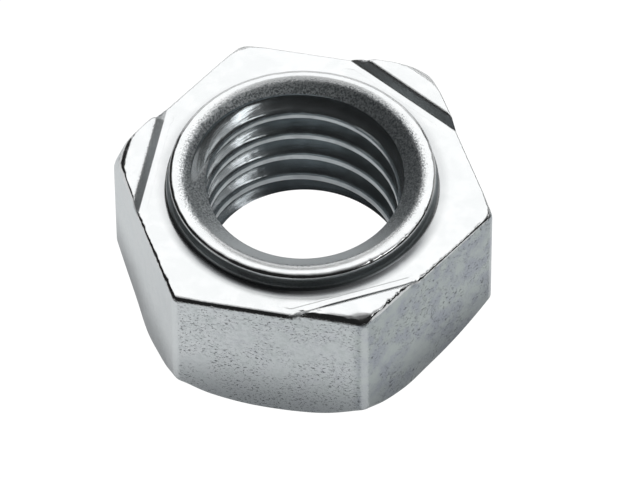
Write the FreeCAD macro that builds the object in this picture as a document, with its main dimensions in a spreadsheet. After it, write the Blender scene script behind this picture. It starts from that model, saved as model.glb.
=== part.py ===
import FreeCAD, Part
import math
import os

import Sketcher
from FreeCAD import Vector

# Hex weld nut, one forged and tapped piece of steel, in millimetres.
# The origin is on the thread axis in the plane of the flat base, and +Z runs to the weld side.
# X passes through two corners of the hexagon. Every second corner has a weld projection.

NODE = "weld_nut"
doc = FreeCAD.newDocument("WeldNut")

# Driving dimensions, with slopes and angles in degrees
SIZES = [
    ("across_flats", 18.0, "hexagon, flat to flat"),
    ("body_height", 8.2, "base to the face between the projections"),
    ("edge_round", 0.4, "radius of the upright edges"),
    ("bearing_dia", 17.9, "flat circle that the base chamfer leaves"),
    ("base_chamfer_slope", 38.0, "rise of that chamfer outside the circle"),
    ("crown_dia", 19.6, "circle that the crown chamfer leaves on top of the projections"),
    ("crown_slope", 52.0, "fall of that chamfer outside the circle"),
    ("weld_height", 0.45, "projections above the face"),
    ("weld_foot", 8.2, "axis to the foot of a projection's ramp"),
    ("weld_ramp_slope", 52.0, "rise of the ramp"),
    ("collar_dia", 14.3, "pilot collar that centres the nut in a sheet's hole"),
    ("collar_height", 1.05, "collar above the face"),
    ("collar_foot_round", 0.15, "fillet between the collar and the face"),
    ("rim_round", 0.12, "radius on both edges of the collar's rim"),
    ("rim_sink_dia", 12.9, "countersink at the rim"),
    ("rim_sink_angle", 110.0, "included angle of that countersink"),
    ("base_sink_dia", 12.9, "countersink at the base"),
    ("base_sink_angle", 90.0, "included angle of that countersink"),
    ("minor_dia", 10.4, "crests of the thread"),
    ("major_dia", 12.0, "roots of the thread"),
    ("pitch", 1.75, "rise of the thread in one turn"),
    ("flank_angle", 60.0, "included angle of the thread groove"),
    ("thread_start", 1.067, "height at which the middle of the groove crosses the X axis"),
    ("lead_in_turns", 2, "turns cut below that height, out through the base"),
    ("cut_turns", 7, "turns cut in all, out through the rim"),
    ("cutter_overlap", 0.3, "depth of the groove's section inside the crests"),
]

sheet = doc.addObject("Spreadsheet::Sheet", "Sizes")
for row, (alias, number, meaning) in enumerate(SIZES, start=1):
    sheet.set(f"A{row}", alias)
    sheet.set(f"B{row}", str(number))
    sheet.set(f"C{row}", meaning)
    sheet.setAlias(f"B{row}", alias)
doc.recompute()


# A size, or a sum of sizes, that knows both its number and its expression on the sheet.
# A place is then written once: the number draws it and the expression drives it.
class Measure:
    def __init__(self, value, text):
        self.value = value
        self.text = text

    def __add__(self, other):
        other = measure(other)
        return Measure(self.value + other.value, f"({self.text} + {other.text})")

    def __sub__(self, other):
        other = measure(other)
        return Measure(self.value - other.value, f"({self.text} - {other.text})")

    def __mul__(self, other):
        other = measure(other)
        return Measure(self.value * other.value, f"({self.text} * {other.text})")

    def __truediv__(self, other):
        other = measure(other)
        return Measure(self.value / other.value, f"({self.text} / {other.text})")


def measure(number):
    return number if isinstance(number, Measure) else Measure(number, str(number))


def size(alias):
    return Measure(float(sheet.get(alias)), f"Sizes.{alias}")


def tangent(angle):
    return Measure(math.tan(math.radians(angle.value)), f"tan({angle.text} * 1 deg)")


ZERO = measure(0)
face_height = size("body_height")
weld_top = face_height + size("weld_height")
rim_height = face_height + size("collar_height")
minor_radius = size("minor_dia") / 2
major_radius = size("major_dia") / 2
collar_radius = size("collar_dia") / 2
# Past the corners, which lie at 0.577 of the size across flats
clear_radius = size("across_flats") * 0.6

body = doc.addObject("PartDesign::Body", "WeldNutBody")
body.Label = NODE
PLANES = {plane.Role: plane for plane in body.Origin.OriginFeatures}


def new_sketch(name, plane):
    sketch = body.newObject("Sketcher::SketchObject", name)
    sketch.AttachmentSupport = [(PLANES[plane], "")]
    sketch.MapMode = "FlatFace"
    return sketch


def add_feature(kind, name, **bound):
    feature = body.newObject(f"PartDesign::{kind}", name)
    for prop, amount in bound.items():
        feature.setExpression(prop, amount.text)
    return feature


def drive(sketch, amount, kind, *geometry):
    number = sketch.addConstraint(Sketcher.Constraint(kind, *geometry, amount.value))
    sketch.setExpression(f"Constraints[{number}]", amount.text)


def draw_loop(sketch, points):
    # Lines from each point to the next and back to the first
    lines = []
    for start, end in zip(points, points[1:] + points[:1]):
        lines.append(sketch.addGeometry(Part.LineSegment(Vector(*start, 0), Vector(*end, 0)), False))
    for line, following in zip(lines, lines[1:] + lines[:1]):
        sketch.addConstraint(Sketcher.Constraint("Coincident", line, 2, following, 1))
    return lines


def draw_polygon(sketch, sides, inradius):
    # Regular, round a construction circle that touches each side, first corner on the X axis
    corner_radius = inradius.value / math.cos(math.pi / sides)
    turns = [2 * math.pi * k / sides for k in range(sides)]
    lines = draw_loop(sketch, [(corner_radius * math.cos(a), corner_radius * math.sin(a)) for a in turns])
    circle = sketch.addGeometry(Part.Circle(Vector(), Vector(0, 0, 1), inradius.value), True)
    sketch.addConstraint(Sketcher.Constraint("Coincident", circle, 3, -1, 1))
    sketch.addConstraint(Sketcher.Constraint("PointOnObject", lines[0], 1, -1))
    for line in lines:
        sketch.addConstraint(Sketcher.Constraint("Tangent", line, circle))
    for line in lines[1:]:
        sketch.addConstraint(Sketcher.Constraint("Equal", lines[0], line))
    drive(sketch, inradius, "Radius", circle)


def draw_section(name, corners):
    # Half a section through the axis: each corner is its radius and its height
    sketch = new_sketch(name, "XZ_Plane")
    lines = draw_loop(sketch, [(radius.value, height.value) for radius, height in corners])
    for line, (radius, height) in zip(lines, corners):
        drive(sketch, radius, "DistanceX", -1, 1, line, 1)
        drive(sketch, height, "DistanceY", -1, 1, line, 1)
    return sketch


def revolve(kind, name, corners):
    profile = draw_section(f"{name}Section", corners)
    feature = add_feature(kind, name)
    feature.Profile = profile
    feature.ReferenceAxis = (profile, ["V_Axis"])
    feature.Angle = 360
    doc.recompute()
    return feature


def round_edges(name, radius, chosen):
    base = body.Tip
    edges = [f"Edge{k}" for k, edge in enumerate(base.Shape.Edges, start=1) if chosen(edge)]
    feature = add_feature("Fillet", name, Radius=radius)
    feature.Base = (base, edges)
    doc.recompute()
    return feature


def is_upright(edge):
    low, high = edge.Vertexes[0].Point, edge.Vertexes[-1].Point
    return (high - low).getAngle(Vector(0, 0, 1)) in (0, math.pi)


def is_circle(edge, radius, height):
    curve = edge.Curve
    return isinstance(curve, Part.Circle) and math.isclose(curve.Radius, radius.value, abs_tol=1e-6) \
        and math.isclose(curve.Center.z, height.value, abs_tol=1e-6)


# Hexagonal blank, as high as the projections
blank_sketch = new_sketch("BlankOutline", "XY_Plane")
draw_polygon(blank_sketch, 6, size("across_flats") / 2)
blank = add_feature("Pad", "Blank", Length=weld_top)
blank.Profile = blank_sketch
doc.recompute()
round_edges("UprightEdges", size("edge_round"), is_upright)

# Face sunk between the projections: a triangle with sloping sides leaves them on every second corner
face_sketch = new_sketch("FaceOutline", "XY_Plane")
face_sketch.setExpression("AttachmentOffset.Base.z", face_height.text)
draw_polygon(face_sketch, 3, size("weld_foot"))
ramp_taper = measure(90) - size("weld_ramp_slope")
face_pocket = add_feature("Pocket", "Face", Length=size("weld_height"), TaperAngle=ramp_taper)
face_pocket.Profile = face_sketch
face_pocket.Reversed = True
doc.recompute()

# Corner chamfers, turned round the axis: one at the base and one on the crown
base_reach = clear_radius - size("bearing_dia") / 2
revolve("Groove", "BaseChamfer", [
    (size("bearing_dia") / 2, ZERO),
    (clear_radius, ZERO),
    (clear_radius, base_reach * tangent(size("base_chamfer_slope"))),
])
crown_reach = clear_radius - size("crown_dia") / 2
revolve("Groove", "CrownChamfer", [
    (size("crown_dia") / 2, weld_top),
    (clear_radius, weld_top - crown_reach * tangent(size("crown_slope"))),
    (clear_radius, weld_top),
])

# Pilot collar
revolve("Revolution", "Collar", [
    (ZERO, face_height),
    (collar_radius, face_height),
    (collar_radius, rim_height),
    (ZERO, rim_height),
])
round_edges("CollarFoot", size("collar_foot_round"), lambda edge: is_circle(edge, collar_radius, face_height))

# Bore at the crests of the thread, with a countersink at each end
base_sink_radius = size("base_sink_dia") / 2
rim_sink_radius = size("rim_sink_dia") / 2
base_sink_depth = (base_sink_radius - minor_radius) / tangent(size("base_sink_angle") / 2)
rim_sink_depth = (rim_sink_radius - minor_radius) / tangent(size("rim_sink_angle") / 2)
revolve("Groove", "Bore", [
    (ZERO, ZERO),
    (base_sink_radius, ZERO),
    (minor_radius, base_sink_depth),
    (minor_radius, rim_height - rim_sink_depth),
    (rim_sink_radius, rim_height),
    (ZERO, rim_height),
])
rim_radii = (rim_sink_radius, collar_radius)
round_edges("Rim", size("rim_round"), lambda edge: any(is_circle(edge, r, rim_height) for r in rim_radii))

# Thread: a right-hand helical groove with flanks at 60 degrees and a flat an eighth of the pitch wide
root_half = size("pitch") / 16
flank_depth = major_radius - minor_radius + size("cutter_overlap")
mouth_half = root_half + flank_depth * tangent(size("flank_angle") / 2)
start = size("thread_start") - size("pitch") * size("lead_in_turns")
groove_section = draw_section("GrooveSection", [
    (major_radius - flank_depth, start - mouth_half),
    (major_radius, start - root_half),
    (major_radius, start + root_half),
    (major_radius - flank_depth, start + mouth_half),
])
cut_height = size("pitch") * size("cut_turns")
thread = add_feature("SubtractiveHelix", "Thread", Pitch=size("pitch"), Height=cut_height)
thread.Profile = groove_section
thread.ReferenceAxis = (groove_section, ["V_Axis"])
thread.Mode = "pitch-height-angle"
doc.recompute()

# Nothing is written unless every feature worked and the nut is one sound solid
for item in doc.Objects:
    if "Invalid" in item.State or "Error" in item.State:
        raise RuntimeError(f"{item.Name} failed: {item.State}")
if body.Shape.isNull() or not body.Shape.isValid() or len(body.Shape.Solids) != 1:
    raise RuntimeError("the nut is not one valid solid")

os.makedirs("parts", exist_ok=True)
body.Shape.exportStep(f"parts/{NODE}.step")
print(f"{NODE}: {body.Shape.Volume:.1f} mm3, {len(body.Shape.Faces)} faces")
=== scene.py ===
import math

import bmesh
import bpy
import numpy as np
from mathutils import Matrix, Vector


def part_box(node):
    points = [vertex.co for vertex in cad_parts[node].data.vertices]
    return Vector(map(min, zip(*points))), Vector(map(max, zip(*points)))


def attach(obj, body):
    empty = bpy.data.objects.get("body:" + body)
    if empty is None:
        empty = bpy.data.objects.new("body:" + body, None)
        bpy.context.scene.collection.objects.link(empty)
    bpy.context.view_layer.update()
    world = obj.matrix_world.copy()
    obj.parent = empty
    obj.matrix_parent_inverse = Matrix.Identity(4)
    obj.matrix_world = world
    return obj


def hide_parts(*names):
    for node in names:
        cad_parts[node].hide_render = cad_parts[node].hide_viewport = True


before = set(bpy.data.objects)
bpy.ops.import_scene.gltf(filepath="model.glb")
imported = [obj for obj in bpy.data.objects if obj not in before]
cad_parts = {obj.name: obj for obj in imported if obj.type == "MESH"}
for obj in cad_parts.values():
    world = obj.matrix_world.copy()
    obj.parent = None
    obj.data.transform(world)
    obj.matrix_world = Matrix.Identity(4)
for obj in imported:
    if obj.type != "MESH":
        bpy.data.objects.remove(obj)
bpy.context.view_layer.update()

# Hex weld nut, dressed as bright zinc-plated steel. Sizes are in millimetres here and in metres in the
# meshes. Directions are in degrees round the axis, from +X towards +Y.
mm = 0.001
nutLow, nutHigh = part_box("weld_nut")
scene = bpy.context.scene


# The nut is one closed skin: an outer grid runs from the mouth at the base, round the outside, to the
# countersink at the rim, and a helical grid makes the thread. They are stitched together at both mouths.
nut = {
    "acrossFlats": (nutHigh.y - nutLow.y) / mm,
    "rimHeight": nutHigh.z / mm,
    "faceHeight": 8.2,
    "weldHeight": 0.45,         # projections above the face
    "weldFoot": 8.2,            # axis to the foot and to the top of a projection's ramp
    "weldTop": 8.55,
    "weldDirection": 60.0,      # of one projection, with the others a third of a turn away
    "dieLine": 7.84,            # faint step along each ramp, this far from the axis
    "dieStep": 0.012,
    "lipInset": 0.5,            # faint line inside the face's edge
    "lipDip": 0.008,
    "edgeRound": 0.4,
    "bearingRadius": 8.95,
    "baseSlope": 38.0,
    "crownRadius": 9.8,
    "crownSlope": 52.0,
    "collarRadius": 7.15,
    "softFoot": 282.0,          # direction in which the collar's foot is widest
    "footSpread": 0.14,         # its least width, and what is added there
    "footSpreadAdded": 0.26,
    "mouthRadius": 6.45,
    "mouthReach": 0.5,          # rounds of the rim, along the profile
    "rimReach": 0.27,
    "rimSinkAngle": 110.0,
    "baseSinkAngle": 90.0,
    "skinBottom": 0.38,         # the outer grid ends at these heights in the countersinks
    "skinTop": 9.0,
    "columnsPerSixth": 120,
    "cornerSpan": 4.0,          # degrees at each corner with columns twice as close
    "rowGap": 0.004,            # least distance between rows along the profile
    "mergeDistance": 0.0005,
    "sharpAngle": 40.0,
}

# Where the nut is uneven. Dents are directions, sizes and widths in degrees, spans are directions and the
# values there, and waves are how many, the fastest and a seed.
wear = {
    # Ramps: one end of the front one stands further out and is steeper
    "rampFootDents": ([279], [0.25], [6]),
    "rampSlopeDents": ([279], [1.5], [6]),

    # Crown: two front corners are trimmed less, the edge at the projections is a mean over some degrees
    # each way, the far ends of two projections are worn down and back, and one corner is worn down
    "crownDents": ([300, 240], [0.22, 0.3], [9, 9]),
    "crownBlur": 4.5,
    "endDents": ([159.8, 79.5], [0.4, 0.22], [3, 3]),
    "endSetback": 1.2,
    "cornerDents": ([180], [0.4], [5]),

    # Base: the chamfer's top is lower or higher in places, rounder at the two front corners, and stands out
    # in two places
    "baseDents": ([230, 243, 284, 309], [0.15, -0.08, 0.25, 0.2], [5, 4, 8, 6]),
    "baseRoundDents": ([240, 300], [0.5, 0.3], [6, 5]),
    "flareDents": ([216, 317], [0.15, 0.13], [12, 9]),

    # Top edge: how far its round reaches, how uneven that is, and nicks, given by how many there are and
    # the least and most of their directions, sizes and widths. It reaches further at the corners.
    "edgeSpan": ([0, 90, 180, 215, 238, 277, 281, 299, 303, 330, 360],
                 [0.14, 0.1, 0.2, 0.22, 0.33, 0.34, 0.56, 0.56, 0.24, 0.22, 0.14]),
    "edgeLimits": (0.04, 0.7),
    "unevenSpan": ([0, 60, 180, 230, 240, 303, 310, 350, 360],
                   [0.12, 0.06, 0.08, 0.06, 0.015, 0.015, 0.15, 0.15, 0.12]),
    "edgeWaves": (40, 220, 3),
    "nickSeed": 12,
    "nicks": [
        (18, (304, 357), (0.04, 0.1), (0.3, 0.8)),
        (14, (184, 236), (0.02, 0.07), (0.3, 1.2)),
    ],
    "pulledDents": ([0, 60, 120, 180, 240, 300], [0.25, 0.2, 0.2, 0.2, 0.1, 0.1], [5, 8, 4, 8, 5, 3]),
    "sideDents": ([180, 60, 300], [0.3, 0.25, 0.25], [9, 9, 6]),

    # Rim and lip
    "rimWaves": (24, 60, 6),
    "rimDents": ([286, 312, 318, 333, 341, 350, 20],
                 [0.03, 0.05, 0.04, 0.06, 0.04, 0.06, 0.04],
                 [1.5, 0.8, 0.5, 0.6, 0.5, 1.0, 1.5]),
    "lipWaves": (12, 40, 5),
    "lipGapWaves": (10, 24, 9),
}


def columnAngles():
    # A sixth of a turn round each corner: close columns over its round, wider ones along the flats
    near, far = nut["cornerSpan"] / 2, 30.0
    dense = nut["columnsPerSixth"] * 2 // 15
    wide = (nut["columnsPerSixth"] - dense) // 2
    sixth = np.concatenate([
        np.linspace(-far, -near, wide, endpoint=False),
        np.linspace(-near, near, dense, endpoint=False),
        np.linspace(near, far, wide, endpoint=False),
    ])
    return np.radians((sixth + 60.0 * np.arange(6)[:, None]).ravel() + far)


def foldedAngle(angles, direction, sector):
    # The angle from the nearest of several directions that stand a sector apart
    half = sector / 2
    return (angles - direction + half) % sector - half


def hexRadius(angles):
    # Distance from the axis to a hexagon with arcs for corners: the inradius over the cosine of the angle
    # off the flat's middle, or at an arc the way to the middle of the chord that it cuts, and half of that
    inradius, arcRadius = nut["acrossFlats"] / 2, nut["edgeRound"]
    offCorner = np.abs(foldedAngle(angles, 0.0, math.pi / 3))
    flat = inradius / np.cos(math.pi / 6 - offCorner)
    centre = (inradius - arcRadius) / math.cos(math.pi / 6)
    halfChord = np.sqrt(np.maximum(arcRadius ** 2 - (centre * np.sin(offCorner)) ** 2, 0))
    touch = math.atan2(arcRadius / 2, centre + arcRadius * math.cos(math.pi / 6))
    return np.where(offCorner < touch, centre * np.cos(offCorner) + halfChord, flat)


def waves(angles, count, fastest, seed):
    # A sum of sines with whole numbers of waves in a turn and random phases, about 1 high
    rng = np.random.default_rng(seed)
    numbers = rng.integers(2, fastest, count)
    phases = rng.uniform(0, 2 * math.pi, count)
    return np.sin(numbers[:, None] * np.ravel(angles) + phases[:, None]).sum(axis=0) / math.sqrt(count / 2)


def dents(angles, places, sizes, widths):
    # A sum of bell curves: each size times the exponential of minus the square of the angle over the width
    places, sizes, widths = (np.array(values)[:, None] for values in (places, sizes, widths))
    off = (np.degrees(angles) - places + 180) % 360 - 180
    return (sizes * np.exp(-(off / widths) ** 2)).sum(axis=0)


def softenedProfile(stations):
    # Every column has the same corners in the same order. A row lies at a length along the line through
    # them, and its point is the mean of the line over a window as wide as the corner's reach, which rounds
    # corners to parabolas and blends those that come close. Rows are sorted, so they never cross where
    # sides vanish.
    columns = max(np.size(value) for station in stations for value in station[:3])
    corners = np.array([[np.broadcast_to(value, columns) for value in station[:2]] for station in stations])
    reaches = np.array([np.broadcast_to(station[2], columns) for station in stations])
    sides = np.diff(corners, axis=0)
    lengths = np.maximum(np.hypot(sides[:, 0], sides[:, 1]), 1e-6)
    starts = np.concatenate([np.zeros((1, columns)), np.cumsum(lengths, axis=0)])
    whole = starts[-1]
    rows = []
    for k, (cornerRows, sideRows) in enumerate(station[3:] for station in stations):
        spread = np.linspace(-1, 1, cornerRows) if cornerRows > 1 else [0]
        rows += [starts[k] + reaches[k] * share for share in spread]
        if k < len(sides):
            first, last = starts[k] + reaches[k], starts[k + 1] - reaches[k + 1]
            rows += [first + (last - first) * share for share in np.linspace(0, 1, sideRows + 2)[1:-1]]
    rows = np.sort(np.clip(rows, 0, whole), axis=0)
    apart = nut["rowGap"] * np.arange(len(rows))[:, None]
    rows = np.minimum(np.maximum.accumulate(rows - apart, axis=0) + apart, whole)
    window = np.broadcast_to(reaches[0], rows.shape).copy()
    for start, length, change in zip(starts, lengths, np.diff(reaches, axis=0)):
        window += change * np.clip((rows - start) / length, 0, 1)

    def swept(ends):
        # The line's points, added up from its start to each end
        total = np.zeros((len(ends), 2, columns))
        for corner, side, start, length in zip(corners, sides, starts, lengths):
            run = np.clip(ends - start, 0, length)[:, None, :]
            total += corner * run + side / length * run ** 2 / 2
        return total

    low, high = np.clip(rows - window, 0, whole), np.clip(rows + window, 0, whole)
    return (swept(high) - swept(low)) / (high - low)[:, None, :]


def sinkRadius(z):
    # Radius of the countersinks at height z: the mouth's radius less the depth below a mouth times the
    # tangent of half the countersink's angle, from whichever mouth that is less
    fromRim = (nut["rimHeight"] - z) * math.tan(math.radians(nut["rimSinkAngle"] / 2))
    fromBase = z * math.tan(math.radians(nut["baseSinkAngle"] / 2))
    return nut["mouthRadius"] - np.minimum(fromRim, fromBase)


def weldAngle(angles):
    # The angle from the middle of the nearest projection
    return foldedAngle(angles, math.radians(nut["weldDirection"]), 2 * math.pi / 3)


def rampFoot(angles):
    # How far the foot of the ramps lies from the axis, along the middle of its projection
    return nut["weldFoot"] + dents(angles, *wear["rampFootDents"])


def rampRun(angles):
    # Width of the ramps, less where they are steeper
    return (nut["weldTop"] - nut["weldFoot"]) / (1 + dents(angles, *wear["rampSlopeDents"]))


def topHeight(angles, radius):
    # The face, the ramps or the tops of the projections: the face's height and that share of a
    # projection's that the point has gone of the way up its ramp
    rise = (radius * np.cos(weldAngle(angles)) - rampFoot(angles)) / rampRun(angles)
    return nut["faceHeight"] + nut["weldHeight"] * np.clip(rise, 0, 1)


def crownLine(angles):
    # Radius at which the crown cone meets the top, or the edge where the cone lies outside: its radius on
    # the projections, and the drop from there over the tangent of its slope
    edge = hexRadius(angles)
    cone = nut["crownRadius"] + dents(angles, *wear["crownDents"])
    drop = nut["faceHeight"] + nut["weldHeight"] - topHeight(angles, edge)
    return np.minimum(cone + drop / math.tan(math.radians(nut["crownSlope"])), edge)


def crownEdge(angles):
    # Radius and height of the top edge, and the height at which the side ends under it. The crown is worn
    # round at the projections.
    edge, sharp = hexRadius(angles), crownLine(angles)
    blur = np.radians(np.linspace(-wear["crownBlur"], wear["crownBlur"], 10))
    rounded = np.minimum(np.mean([crownLine(angles + turned) for turned in blur], axis=0), edge)
    nearWeld = np.clip((math.radians(20) - np.abs(weldAngle(angles))) / math.radians(5), 0, 1)
    crown = sharp + nearWeld * (rounded - sharp)
    sideTop = topHeight(angles, crown) - (edge - crown) * math.tan(math.radians(nut["crownSlope"]))
    worn = dents(angles, *wear["endDents"])
    sideTop = np.maximum(sideTop - worn, np.minimum(sideTop, nut["faceHeight"]))
    crown = crown - wear["endSetback"] * worn
    return crown, topHeight(angles, crown), sideTop - dents(angles, *wear["cornerDents"])


def edgeReach(angles):
    # Reach of the top edge's round: its span times one and the uneven waves, and the nicks and the
    # corners' reach on top
    turn = np.degrees(angles)
    rng = np.random.default_rng(wear["nickSeed"])
    nicks = 0
    for count, *spans in wear["nicks"]:
        nicks = nicks + dents(angles, *[rng.uniform(*span, count) for span in spans])
    uneven = 1 + np.interp(turn, *wear["unevenSpan"]) * waves(angles, *wear["edgeWaves"])
    reach = np.interp(turn, *wear["edgeSpan"]) * uneven + nicks
    return np.clip(reach, *wear["edgeLimits"]) + dents(angles, *wear["pulledDents"])


def outerRows(angles):
    # Every column's radii and heights, from the base's countersink round the outside to the rim's
    edge, offWeld = hexRadius(angles), weldAngle(angles)
    face, rim = nut["faceHeight"], nut["rimHeight"]
    collar, mouth = nut["collarRadius"], nut["mouthRadius"]
    crown, crownHeight, sideTop = crownEdge(angles)
    topReach = edgeReach(angles)
    bevel = np.hypot(edge - crown, crownHeight - sideTop)
    sideReach = topReach - (topReach - 0.1) * np.clip(bevel / 0.5, 0, 1) + dents(angles, *wear["sideDents"])
    rimReach = nut["rimReach"] + 0.01 * waves(angles, *wear["rimWaves"]) + dents(angles, *wear["rimDents"])
    baseTop = (edge - nut["bearingRadius"]) * math.tan(math.radians(nut["baseSlope"])) \
        * (1 - dents(angles, *wear["baseDents"]))
    baseReach = 0.12 + dents(angles, *wear["baseRoundDents"])

    def nearEdge(place, reach):
        # A line that runs into the worn edge takes on its reach
        return reach + (topReach - reach) * np.clip(1 - (crown - place) / 0.4, 0, 1)

    def shoulderReach(gap, reach):
        # The worn edge keeps its full reach as far as its shoulder, if that stands clear of the ramp
        return reach + (topReach - reach) * np.clip(gap / 0.15, 0, 1)

    # Lines on the face: the ramps of the projections, a lip inside the edge and the die's step
    foot = np.minimum(rampFoot(angles) / np.cos(offWeld), crown)
    ramp = np.minimum((rampFoot(angles) + rampRun(angles)) / np.cos(offWeld), crown)
    padShoulder = np.maximum(crown - topReach, ramp)
    faceShoulder = np.minimum(crown - topReach, foot)
    rampReach, footReach = nearEdge(ramp, 0.16), nearEdge(foot, 0.05)
    lip = np.minimum(edge - nut["lipInset"] - 0.03 * waves(angles, *wear["lipWaves"]), faceShoulder - 0.1)
    lipSeen = np.clip(waves(angles, *wear["lipGapWaves"]) + 0.4, 0, 1)
    dip = nut["lipDip"] * np.clip((foot - lip - 0.3) / 0.1, 0, 1) * lipSeen
    die = np.minimum(nut["dieLine"] / np.cos(offWeld), lip - 0.12)
    step = nut["dieStep"] * np.clip((math.radians(27) - np.abs(offWeld)) / 0.05, 0, 1)
    softSide = np.clip(1.3 * np.cos(angles - math.radians(nut["softFoot"])) + 0.1, 0, 1)
    spread = nut["footSpread"] + nut["footSpreadAdded"] * softSide

    # Each corner is a radius, a height, a reach, the rows across it and the rows on the side after it
    return softenedProfile([
        (sinkRadius(nut["skinBottom"]), nut["skinBottom"], 0.001, 1, 1),
        (mouth, 0, 0.06, 3, 2),
        (nut["bearingRadius"], 0, 0.15, 4, 1),
        (edge + dents(angles, *wear["flareDents"]), baseTop, baseReach, 4, 8),
        (edge, sideTop, sideReach, 5, 0),
        (crown, crownHeight, topReach, 6, 0),
        (padShoulder, crownHeight, shoulderReach(padShoulder - ramp, rampReach), 1, 0),
        (ramp, crownHeight, rampReach, 4, 0),
        (foot, face, footReach, 3, 0),
        (faceShoulder, face, shoulderReach(foot - faceShoulder, footReach), 1, 0),
        (lip, face, 0.02, 1, 0),
        (lip - 0.04, face - dip, 0.02, 1, 0),
        (lip - 0.08, face, 0.02, 1, 0),
        (die, face, 0.02, 2, 0),
        (die - 0.05, face + step, 0.02, 2, 2),
        (collar + spread, face + step, 0.6 * spread, 4, 0),
        (collar + 0.07, face + 0.15, 0.1, 4, 0),
        (collar + 0.01, face + 0.27, 0.01, 1, 0),
        (collar - 0.02, face + 0.29, 0.01, 1, 0),
        (collar, face + 0.32, 0.01, 1, 3),
        (collar, rim, rimReach, 5, 0),
        (mouth, rim, nut["mouthReach"], 8, 1),
        (sinkRadius(nut["skinTop"]), nut["skinTop"], 0.001, 1, 0),
    ])


thread = {
    "minorRadius": 5.2,
    "majorRadius": 6.0,
    "pitch": 1.75,
    "grooveStart": 1.067,       # height of the groove's middle on the X axis
    "flankAngle": 60.0,
    "turns": 8,
    "turnsBelow": 2,
    "bottom": 0.42,             # the thread grid ends at these heights in the countersinks
    "top": 8.97,
    "sag": 0.04,                # hollow of the flanks that face the rim
    "crestBulge": 0.09,         # crests swell this far into the bore before they are rounded
    "chatter": 0.0015,          # height of the tool marks
    "chatterWaves": (60, 900, 21),
}


def threadProfile():
    # One pitch of the thread as heights and radii, from the middle of a root to the middle of the next.
    # The sag stands off the middle of its flank at a right angle.
    pitch, half = thread["pitch"], thread["pitch"] / 16
    low, high, sag = thread["minorRadius"], thread["majorRadius"], thread["sag"]
    run = (high - low) * math.tan(math.radians(thread["flankAngle"] / 2))
    rows = softenedProfile([
        (0, high, 0.001, 1, 0),
        (half, high, 0.06, 3, 1),
        (half + run, low, 0.16, 4, 0),
        (pitch / 2, low - thread["crestBulge"], 0.2, 3, 0),
        (pitch - half - run, low, 0.16, 4, 0),
        (pitch - half - run / 2 - 0.87 * sag, (low + high) / 2 + 0.5 * sag, 0.25, 3, 0),
        (pitch - half, high, 0.06, 3, 0),
        (pitch, high, 0.001, 1, 0),
    ])[:, :, 0]
    return rows[:-1]


def threadGrid(angles):
    # Row after row climbs one profile per pitch, and each column adds its share of a pitch. The radius is
    # the profile's and the chatter's, or the countersink's where that is more.
    profile = threadProfile()
    pitch, turns = thread["pitch"], np.arange(thread["turns"])
    lift = thread["grooveStart"] + pitch * (turns - thread["turnsBelow"])
    rowHeights = (lift[:, None] + profile[:, 0]).ravel()
    rowRadii = np.tile(profile[:, 1], thread["turns"])
    turned = angles[:, None] + 2 * math.pi * np.repeat(turns, len(profile))
    chatter = waves(turned / thread["turns"], *thread["chatterWaves"]).reshape(turned.shape)
    heights = rowHeights + pitch * angles[:, None] / (2 * math.pi)
    heights, radii = snapToSink(heights, rowRadii + thread["chatter"] * chatter)
    clamped = np.clip(heights, thread["bottom"], thread["top"])
    radii = np.where(clamped == heights, np.maximum(radii, sinkRadius(heights)), sinkRadius(clamped))
    return clamped, radii, len(profile)


def snapToSink(heights, radii):
    # Where a column passes from thread to countersink between two rows, the nearer row moves to the crossing
    gap = radii - sinkRadius(heights)
    before, after = gap[:, :-1], gap[:, 1:]
    crosses = before * after < 0
    share = np.where(crosses, before / np.where(crosses, before - after, 1), 0)
    crossHeight = heights[:, :-1] + share * np.diff(heights, axis=1)
    crossRadius = radii[:, :-1] + share * np.diff(radii, axis=1)
    for ahead, nearer in ((0, share < 0.5), (1, share >= 0.5)):
        column, row = np.nonzero(crosses & nearer)
        heights[column, row + ahead] = crossHeight[column, row]
        radii[column, row + ahead] = crossRadius[column, row]
    return heights, radii


def gridPoints(angles, radii, heights):
    # The radius times the angle's cosine and sine, and the height
    return np.stack([radii * np.cos(angles), radii * np.sin(angles), heights], axis=-1).reshape(-1, 3)


def outerFaces(rows, columns):
    # Quads of the outer grid
    row, column = np.meshgrid(np.arange(rows - 1), np.arange(columns), indexing="ij")
    here, ahead = row * columns, (column + 1) % columns
    above = here + columns
    return np.stack([here + column, here + ahead, above + ahead, above + column], axis=-1).reshape(-1, 4)


def threadFaces(inner, rows, profileRows, heights):
    # Triangles of the thread, whose last column meets its first one pitch higher. None are left where the
    # grid is clamped.
    column, row = np.meshgrid(np.arange(inner), np.arange(rows - 1), indexing="ij")
    shift = np.where(column == inner - 1, profileRows, 0)
    here, ahead = column * rows + row, (column + 1) % inner * rows
    over = here + 1
    beside, diagonal = (ahead + np.minimum(row + shift + up, rows - 1) for up in (0, 1))
    halves = ((here, over, beside), (over, diagonal, beside))
    corners = np.concatenate([np.stack(half, axis=-1).reshape(-1, 3) for half in halves])
    level = heights.ravel()[corners]
    return corners[~((level == thread["top"]).all(axis=1) | (level == thread["bottom"]).all(axis=1))]


def stitchFaces(rows, columns, threadRows):
    # Three triangles join two steps of the outer grid to one of the thread, at the base and at the rim
    inner, first = columns // 2, rows * columns
    k = np.arange(inner)
    stitches = []
    for outerRow, threadRow, order in ((0, 0, 1), (rows - 1, threadRows - 1, -1)):
        left = outerRow * columns + 2 * k
        middle, right = left + 1, outerRow * columns + (2 * k + 2) % columns
        under = first + k * threadRows + threadRow
        underNext = first + (k + 1) % inner * threadRows + threadRow
        for triangle in ((left, under, middle), (middle, under, underNext), (middle, underNext, right)):
            stitches.append(np.stack(triangle[::order], axis=-1))
    return np.concatenate(stitches)


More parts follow.
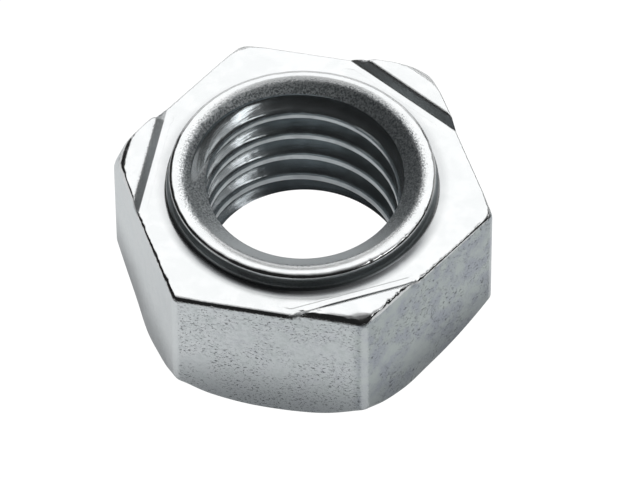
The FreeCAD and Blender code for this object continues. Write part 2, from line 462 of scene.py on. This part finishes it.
def nutMesh():
    # The thread has every second column of the outer grid
    angles = columnAngles()
    outer = outerRows(angles)
    rows, columns = len(outer), len(angles)
    heights, radii, profileRows = threadGrid(angles[::2])
    threadRows = heights.shape[1]
    points = np.concatenate([
        gridPoints(angles, outer[:, 0], outer[:, 1]),
        gridPoints(angles[::2, None], radii, heights),
    ])
    faces = outerFaces(rows, columns).tolist()
    faces += (rows * columns + threadFaces(columns // 2, threadRows, profileRows, heights)).tolist()
    faces += stitchFaces(rows, columns, threadRows).tolist()
    mesh = bpy.data.meshes.new("weldNutSkin")
    mesh.from_pydata((points * mm).tolist(), [], faces)
    skin = bmesh.new()
    skin.from_mesh(mesh)
    bmesh.ops.remove_doubles(skin, verts=skin.verts, dist=nut["mergeDistance"] * mm)
    bmesh.ops.delete(skin, geom=[vertex for vertex in skin.verts if not vertex.link_faces], context="VERTS")
    bmesh.ops.recalc_face_normals(skin, faces=skin.faces)
    openEdges = sum(not edge.is_manifold for edge in skin.edges)
    triangles = sum(len(face.verts) - 2 for face in skin.faces)
    print("nut:", len(skin.verts), "vertices,", triangles, "triangles,", openEdges, "open edges")
    skin.to_mesh(mesh)
    skin.free()
    mesh.shade_smooth()
    mesh.set_sharp_from_angle(angle=math.radians(nut["sharpAngle"]))
    return mesh


nutPiece = bpy.data.objects.new("weldNut", nutMesh())
scene.collection.objects.link(nutPiece)
evenNormals = nutPiece.modifiers.new("evenNormals", "WEIGHTED_NORMAL")
evenNormals.keep_sharp = True
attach(nutPiece, "root")
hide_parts("weld_nut")


class Value:
    # A node's output that takes part in sums: each operator adds a Math node
    def __init__(self, nodes, socket):
        self.nodes, self.socket = nodes, socket

    def math(self, operation, *inputs):
        return self.nodes.add("ShaderNodeMath", {"operation": operation}, dict(enumerate(inputs)))

    def __add__(self, other):
        return self.math("ADD", self, other)

    def __sub__(self, other):
        return self.math("SUBTRACT", self, other)

    def __rsub__(self, other):
        return self.math("SUBTRACT", other, self)

    def __mul__(self, other):
        return self.math("MULTIPLY", self, other)

    def __pow__(self, other):
        return self.math("POWER", self, other)

    def larger(self, other):
        return self.math("MAXIMUM", self, other)

    __radd__, __rmul__ = __add__, __mul__


class Nodes:
    def __init__(self, tree):
        self.tree = tree

    def add(self, kind, settings, inputs, output=0):
        # Settings go first, because some of them change the node's sockets
        node = self.tree.nodes.new(kind)
        for setting, choice in settings.items():
            setattr(node, setting, choice)
        for name, given in inputs.items():
            if isinstance(given, Value):
                self.tree.links.new(given.socket, node.inputs[name])
            else:
                node.inputs[name].default_value = given
        return Value(self, node.outputs[output]) if len(node.outputs) else None

    def fade(self, value, ends):
        # 0 at the first end, 1 at the second, smooth between
        inputs = {"Value": value, "From Min": ends[0], "From Max": ends[1]}
        return self.add("ShaderNodeMapRange", {"interpolation_type": "SMOOTHSTEP"}, inputs)

    def noise(self, vector, scale, detail, roughness, distortion=0.0):
        inputs = {"Vector": vector, "Scale": scale, "Detail": detail, "Roughness": roughness}
        return self.add("ShaderNodeTexNoise", {}, inputs | {"Distortion": distortion})

    def mix(self, factor, first, second):
        return self.add("ShaderNodeMix", {"data_type": "RGBA"}, {0: factor, 6: first, 7: second}, output=2)


# Bright zinc: smooth on the face and the rim, satin and mottled on the forged sides, grainy where a tool
# pressed or cut it. Ends are where a change starts and where it is full: a radius, a height, a distance
# or a noise's value. Stains, painted shade and painted highlight are the shares of them that show.
zinc = {
    "face": {"bright": (0.94, 0.955, 0.96, 1), "dull": (0.89, 0.91, 0.915, 1), "roughness": 0.17},
    "side": {"bright": (0.94, 0.98, 0.995, 1), "dull": (0.875, 0.925, 0.945, 1), "roughness": 0.34},
    "cone": {"bright": (0.93, 0.98, 1.0, 1), "dull": (0.235, 0.265, 0.28, 1), "roughness": 0.44},
    "wall": {"bright": (0.66, 0.72, 0.74, 1), "dull": (0.375, 0.415, 0.43, 1), "roughness": 0.4},
    "ramp": {"bright": (0.95, 0.97, 0.98, 1), "dull": (0.36, 0.375, 0.38, 1), "roughness": 0.48},
    "thread": {"bright": (0.72, 0.775, 0.80, 1), "dull": (0.56, 0.60, 0.62, 1), "roughness": 0.16},
    # Dark of the pits, and of the painted shade on the countersink, in the bore, low on the sides and at the
    # collar's foot
    "pitsAndShade": (0.115, 0.13, 0.145, 1),
    "greenStain": (0.50, 0.56, 0.55, 1),
    "blueStain": (0.48, 0.52, 0.575, 1),

    # Noises: a scale per millimetre, a detail, a roughness and, for the dashes, a distortion. Stretches
    # multiply the place before it goes into a noise.
    "mottle": (0.9, 5, 0.6),
    "mottleEnds": (0.38, 0.64),
    "wave": (0.9, 2, 0.5),
    "grain": (10.0, 3, 0.7),
    "fineGrain": (30.0, 2, 0.5),
    "blotch": (4.5, 4, 0.65),
    "blotchEnds": (0.42, 0.62),
    "pitStretch": (5.0, 5.0, 9.0),
    "pitDash": (1, 4, 0.7, 0.7),
    "pitEnds": (0.56, 0.67),
    "pitPatch": (0.45, 2, 0.5),
    "pitPatchEnds": (0.34, 0.54),
    "streakStretch": (0.5, 0.5, 14.0),
    "streak": (1, 3, 0.6),

    # Countersink: specks at its edge, a right and a left side darkened as painted shade, a front lightened
    # as painted light, and a coat of dust, which is the share of the surface that scatters light like powder
    "boreEnds": (6.15, 6.65),
    "boreSpecks": 1.1,
    "boreShrink": 0.2,          # its edge lies this much further in on the front, which is painted lighter
    "coneSkinEnds": (-0.06, -0.02),
    "pastThreadEnds": (6.0, 6.05),
    "coneHeightEnds": (8.3, 8.35),
    "coneGrainEnds": (0.38, 0.62),
    "coneDust": 0.75,
    # Right side of the countersink, darkened as painted shade
    "rightShadeCone": 24.0,
    "rightShadeEnds": (1.0, 5.5),
    "rightShadeShare": 0.54,
    # Left side of the countersink, darkened as painted shade
    "leftShadeCone": 185.0,
    "dullEnds": (3.0, 6.0),
    "leftShadeShare": 0.4,
    # Front side of the countersink, lightened as painted light
    "paintedFrontCone": 282.0,
    "paintedFrontEnds": (2.0, 5.0),

    # Thread, darker with depth as painted shade, and the collar's wall and foot, with painted shade at the
    # foot
    "threadEnds": (6.1, 6.2),
    "threadDepthEnds": (0.3, 5.0),
    "threadDepthShade": 0.6,
    "threadDust": 0.26,
    "wallInsideEnds": (7.0, 7.05),
    "wallOutsideEnds": (7.2, 7.4),
    "wallFootEnds": (8.24, 8.34),
    "wallTopEnds": (9.06, 9.15),
    "wallSpecks": 0.1,
    "footInsideEnds": (7.15, 7.25),
    "footOutsideEnds": (7.4, 8.0),
    "footTopEnds": (8.5, 8.6),
    "footShade": 0.2,
    "footShadeAdded": 0.5,      # more on the front side
    "footRough": 0.06,

    # Ramps and sides. One side is clean, another is tinted and darker as painted shade, with a trace of that
    # round the next ones, and all are darker low down as painted shade and bright at their worn corners,
    # with a painted highlight.
    "rampFootEnds": (8.14, 8.22),
    "rampTopEnds": (8.46, 8.66),
    "rampHeightEnds": (8.05, 8.2),
    "rampSpecks": 0.4,
    "sideInsideEnds": (8.6, 8.9),
    "sideBelowEnds": (0.1, 0.2),
    "sideSpecks": 0.15,
    "sideDrop": 0.12,           # at the projections the side's finish ends this much further below the top
    "sideRough": 0.1,
    "cornerEnds": (10.22, 10.32),
    "cornerSpecks": 0.25,
    "cornerWearAndHighlight": 0.45,
    "cleanSide": 210.0,
    "cleanEnds": (8.7, 8.95),
    "cleanShare": 0.9,
    "blotchStain": 0.3,
    "pitStain": 0.85,
    # One side is tinted, and darker as painted shade
    "tintedShadedSide": -30.0,
    "tintAndShadeEnds": (8.3, 8.9),
    "tintAndShadeShare": 0.72,
    "traceEnds": (-3.0, 8.0),
    "traceTintAndShade": 0.28,
    "tarnishMottle": 0.15,
    "lowEnds": (0.0, 4.6),
    "lowShade": 0.68,
    "lowBlotches": 1.5,

    # Bump, in millimetres
    "grainHeight": 0.010,
    "rampGrain": 0.6,           # shares of the grain on the ramps and elsewhere, and of the fine grain
    "leastGrain": 0.12,
    "fineGrainShare": 0.1,
    "waveHeight": 0.012,
    "pitHeight": 0.03,
    "streakHeight": 0.007,
}


def zincMaterial():
    material = bpy.data.materials.new("zincPlate")
    material.use_nodes = True
    nodes = Nodes(material.node_tree)
    metres = nodes.add("ShaderNodeTexCoord", {}, {}, output="Object")
    place = nodes.add("ShaderNodeVectorMath", {"operation": "SCALE"}, {0: metres, "Scale": 1 / mm})
    x, y, z = (nodes.add("ShaderNodeSeparateXYZ", {}, {0: place}, output=axis) for axis in "XYZ")
    radius = (x * x + y * y) ** 0.5

    def noise(name):
        return nodes.noise(place, *zinc[name])

    def stretchedNoise(name, stretch):
        vector = nodes.add("ShaderNodeVectorMath", {"operation": "MULTIPLY"}, {0: place, 1: zinc[stretch]})
        return nodes.noise(vector, *zinc[name])

    def fade(value, name):
        return nodes.fade(value, zinc[name + "Ends"])

    def toward(direction):
        # How far a point lies from the axis in this direction
        turned = math.radians(direction)
        return x * math.cos(turned) + y * math.sin(turned)

    def finish(name, shade):
        return nodes.mix(shade, zinc[name]["dull"], zinc[name]["bright"])

    mottle = fade(noise("mottle"), "mottle")
    grain, blotches = noise("grain"), noise("blotch")
    speck = grain - 0.5

    # The countersink, whose grain fades into the rim in specks, and the thread under it
    # The front side: there the countersink is painted lighter and the collar's foot painted darker
    paintedFront = fade(toward(zinc["paintedFrontCone"]), "paintedFront")
    coneSlope = 1 / math.tan(math.radians(nut["rimSinkAngle"] / 2))
    onCone = fade(z - (nut["rimHeight"] - (nut["mouthRadius"] - radius) * coneSlope), "coneSkin")
    cone = (1 - fade(radius + zinc["boreSpecks"] * speck + zinc["boreShrink"] * paintedFront, "bore")) \
        * onCone.larger(fade(radius, "pastThread")) * fade(z, "coneHeight")
    coneGrain = fade(grain, "coneGrain")
    coneShade = coneGrain + paintedFront * (1 - coneGrain)
    threaded = (1 - fade(radius, "thread")) * (1 - onCone)

    # The collar's wall and foot, the ramps, the sides and their corners
    wall = fade(radius, "wallInside") * (1 - fade(radius, "wallOutside")) \
        * fade(z, "wallFoot") * (1 - fade(z + zinc["wallSpecks"] * speck, "wallTop"))
    collarFoot = fade(radius, "footInside") * (1 - fade(radius, "footOutside")) * (1 - fade(z, "footTop"))
    first, second, third = (toward(nut["weldDirection"] + turn) for turn in (0, 120, 240))
    across = first.larger(second.larger(third))
    ramp = fade(across, "rampFoot") * (1 - fade(across + zinc["rampSpecks"] * speck, "rampTop")) \
        * fade(z, "rampHeight")
    raised = nodes.fade(across, (nut["weldFoot"], nut["weldTop"]))
    belowTop = nut["faceHeight"] + (nut["weldHeight"] - zinc["sideDrop"]) * raised - z
    side = fade(radius, "sideInside") * fade(belowTop + zinc["sideSpecks"] * speck, "sideBelow")
    corner = fade(radius + zinc["cornerSpecks"] * speck, "corner") * side

    # Pits are short dashes, gathered in patches
    stained = side * (1 - zinc["cleanShare"] * fade(toward(zinc["cleanSide"]), "clean"))
    pits = fade(stretchedNoise("pitDash", "pitStretch"), "pit") * fade(noise("pitPatch"), "pitPatch") \
        * (1 - corner) * stained
    # One side tinted and darker as painted shade, with a trace of that round the next ones
    towardTintAndShade = toward(zinc["tintedShadedSide"])
    tintAndShade = zinc["tintAndShadeShare"] * fade(towardTintAndShade, "tintAndShade") \
        + zinc["traceTintAndShade"] * fade(towardTintAndShade, "trace")
    # Painted shade: the sides darker low down
    low = 1 - fade(z + zinc["lowBlotches"] * (blotches - 0.5), "low")

    # Finishes cover the face's one after another, and stains, painted shade and painted highlight cover them
    # by their shares
    colour = finish("face", mottle)
    roughness = zinc["face"]["roughness"]
    finishes = {"side": (side, mottle), "ramp": (ramp, grain), "wall": (wall, grain),
                "cone": (cone, coneShade), "thread": (threaded, mottle)}
    for name, (mask, shade) in finishes.items():
        colour = nodes.mix(mask, colour, finish(name, shade))
        roughness = roughness + (zinc[name]["roughness"] - zinc["face"]["roughness"]) * mask
    tarnishColour = nodes.mix(mottle, zinc["greenStain"], zinc["blueStain"])
    for share, cover in (
        # Painted shade on the countersink's right side
        (zinc["rightShadeShare"] * fade(toward(zinc["rightShadeCone"]), "rightShade") * cone, zinc["pitsAndShade"]),
        # Painted shade on the countersink's left side
        (zinc["leftShadeShare"] * fade(toward(zinc["leftShadeCone"]), "dull") * cone, zinc["pitsAndShade"]),
        # Painted shade on the thread, darker deeper in the bore
        (zinc["threadDepthShade"] * (1 - fade(z, "threadDepth")) * threaded, zinc["pitsAndShade"]),
        (zinc["blotchStain"] * fade(blotches, "blotch") * stained, tarnishColour),
        # Tint on one side, with painted shade
        ((1 - zinc["tarnishMottle"] + zinc["tarnishMottle"] * mottle) * tintAndShade * side, tarnishColour),
        # Painted shade low on the sides
        (zinc["lowShade"] * low * side, zinc["pitsAndShade"]),
        (zinc["pitStain"] * pits, zinc["pitsAndShade"]),
        # Worn corners, brightened with a painted highlight
        (zinc["cornerWearAndHighlight"] * corner, zinc["side"]["bright"]),
        # Painted shade at the collar's foot, more at the front
        ((zinc["footShade"] + zinc["footShadeAdded"] * paintedFront) * collarFoot, zinc["pitsAndShade"]),
    ):
        colour = nodes.mix(share, colour, cover)
    roughness = roughness + zinc["sideRough"] * (mottle - 0.5) * side \
        + zinc["footRough"] * collarFoot * (1 - wall)
    metallic = 1 - zinc["coneDust"] * cone - zinc["threadDust"] * threaded
    grained = grain * (cone + zinc["rampGrain"] * ramp + zinc["leastGrain"])
    height = zinc["grainHeight"] * (grained + zinc["fineGrainShare"] * noise("fineGrain")) \
        + zinc["waveHeight"] * noise("wave") * side - zinc["pitHeight"] * pits \
        + zinc["streakHeight"] * stretchedNoise("streak", "streakStretch") * threaded
    inputs = {"Height": height * mm, "Distance": 1.0, "Strength": 1.0}
    bump = nodes.add("ShaderNodeBump", {}, inputs, output="Normal")
    shader = material.node_tree.nodes["Principled BSDF"]
    links = {"Base Color": colour, "Roughness": roughness, "Metallic": metallic, "Normal": bump}
    for name, given in links.items():
        material.node_tree.links.new(given.socket, shader.inputs[name])
    print("finish: zinc plate,", len(material.node_tree.nodes), "nodes")
    return material


nutPiece.data.materials.append(zincMaterial())


# Camera at the photograph's angle: it looks at a point on the weld face, from a long way off
camera = {
    "lens": 439.5,
    "sensor": 36,
    "view": {
        "azimuth": 11.706,
        "elevation": 51.556,
        "roll": -0.416,
        "distance": 422.11,
        "target": (1.047, -0.26, 4.0),
    },
}


def cameraPlace(azimuth, elevation, roll, distance, target):
    # Axes of a camera that stands back from the target at these angles
    turned, raised, rolled = np.radians([azimuth, elevation, roll])
    level = np.array([math.cos(turned), math.sin(turned), 0.0])
    away = np.array([-math.sin(turned), math.cos(turned), 0.0])
    back = np.array([0.0, 0.0, math.sin(raised)]) - away * math.cos(raised)
    above = np.cross(back, level)
    right = level * math.cos(rolled) + above * math.sin(rolled)
    up = above * math.cos(rolled) - level * math.sin(rolled)
    place = np.eye(4)
    place[:3, :3] = np.stack([right, up, back], axis=1)
    place[:3, 3] = (np.array(target) + back * distance) * mm
    return Matrix(place.tolist())


cameraData = bpy.data.cameras.new("camera")
cameraData.lens = camera["lens"]
cameraData.sensor_width = camera["sensor"]
cameraData.clip_start = 0.01
cameraData.clip_end = 10
cameraPiece = bpy.data.objects.new("camera", cameraData)
cameraPiece.matrix_world = cameraPlace(**camera["view"])
scene.collection.objects.link(cameraPiece)
scene.camera = cameraPiece


# Studio: a pale floor, one large soft box overhead, smaller cards round it and a dim room. A light is its
# place, measured from the nut in metres to the camera's right, away from the camera and up, its width and
# depth, its tilt and turn in degrees, and its brightness.
studio = {
    "floorReach": 3.0,
    "floorColour": (0.9, 0.9, 0.9, 1),
    "floorGlow": 1.1,
    "glowShare": 0.46,          # share of the floor's glow in reflections, and what the camera adds to it
    "seenShare": 0.5,
    "room": 0.012,
    "lights": {
        "softBox": ((0.15, 0.57, 0.55), (0.88, 0.70), 0.0, -4.0, 1.06),
        "fadeCard": ((0.15, 0.15, 0.55), (0.88, 0.14), 0.0, -4.0, 0.4),
        "topCard": ((0.14, 0.0, 0.55), (0.3, 0.16), 0.0, -4.0, 0.14),
        "backCard": ((0.0, 0.92, 0.27), (1.0, 0.34), 77.0, 180.0, 0.75),
        "strip": ((0.37, -0.09, 0.50), (0.09, 0.27), 0.0, 0.0, 2.6),
        "leftCard": ((-0.62, -0.26, 0.18), (0.35, 0.25), 75.0, -67.0, 0.3),
        "rightCard": ((0.51, 0.43, 0.19), (0.35, 0.25), 74.0, 130.0, 0.35),
    },
}


def addLight(name, place, size, tilt, turn, glow):
    # Faces down before its tilt and turn, and its power gives its surface this brightness
    right, away, up = place
    width, depth = size
    data = bpy.data.lights.new(name, "AREA")
    data.shape = "RECTANGLE"
    data.size, data.size_y = width, depth
    data.energy = glow * math.pi * width * depth
    light = bpy.data.objects.new(name, data)
    facing = math.radians(camera["view"]["azimuth"])
    east = right * math.cos(facing) - away * math.sin(facing)
    north = right * math.sin(facing) + away * math.cos(facing)
    light.location = (east, north, up)
    light.rotation_euler = (math.radians(tilt), 0, facing + math.radians(turn))
    light.visible_camera = False
    scene.collection.objects.link(light)


def floorMaterial():
    # Plain pale, and a little brighter to the camera than in reflections
    material = bpy.data.materials.new("paleFloor")
    material.use_nodes = True
    material.node_tree.nodes.clear()
    nodes = Nodes(material.node_tree)
    seen = nodes.add("ShaderNodeLightPath", {}, {}, output="Is Camera Ray")
    lit = nodes.add("ShaderNodeBsdfDiffuse", {}, {"Color": studio["floorColour"]})
    glow = nodes.add("ShaderNodeEmission", {}, {"Color": (1, 1, 1, 1), "Strength": studio["floorGlow"]})
    share = seen * studio["seenShare"] + studio["glowShare"]
    mixed = nodes.add("ShaderNodeMixShader", {}, {0: share, 1: lit, 2: glow})
    nodes.add("ShaderNodeOutputMaterial", {}, {"Surface": mixed})
    return material


for lightName, lightValues in studio["lights"].items():
    addLight(lightName, *lightValues)

reach = studio["floorReach"]
floorCorners = [(-reach, -reach, 0), (reach, -reach, 0), (reach, reach, 0), (-reach, reach, 0)]
floorMesh = bpy.data.meshes.new("floor")
floorMesh.from_pydata(floorCorners, [], [(0, 1, 2, 3)])
floorMesh.materials.append(floorMaterial())
floor = bpy.data.objects.new("floor", floorMesh)
scene.collection.objects.link(floor)

world = bpy.data.worlds.new("studio")
world.use_nodes = True
background = world.node_tree.nodes["Background"]
background.inputs["Color"].default_value = (1, 1, 1, 1)
background.inputs["Strength"].default_value = studio["room"]
scene.world = world
scene.view_settings.view_transform = "Standard"
print("studio:", len(studio["lights"]), "lights")
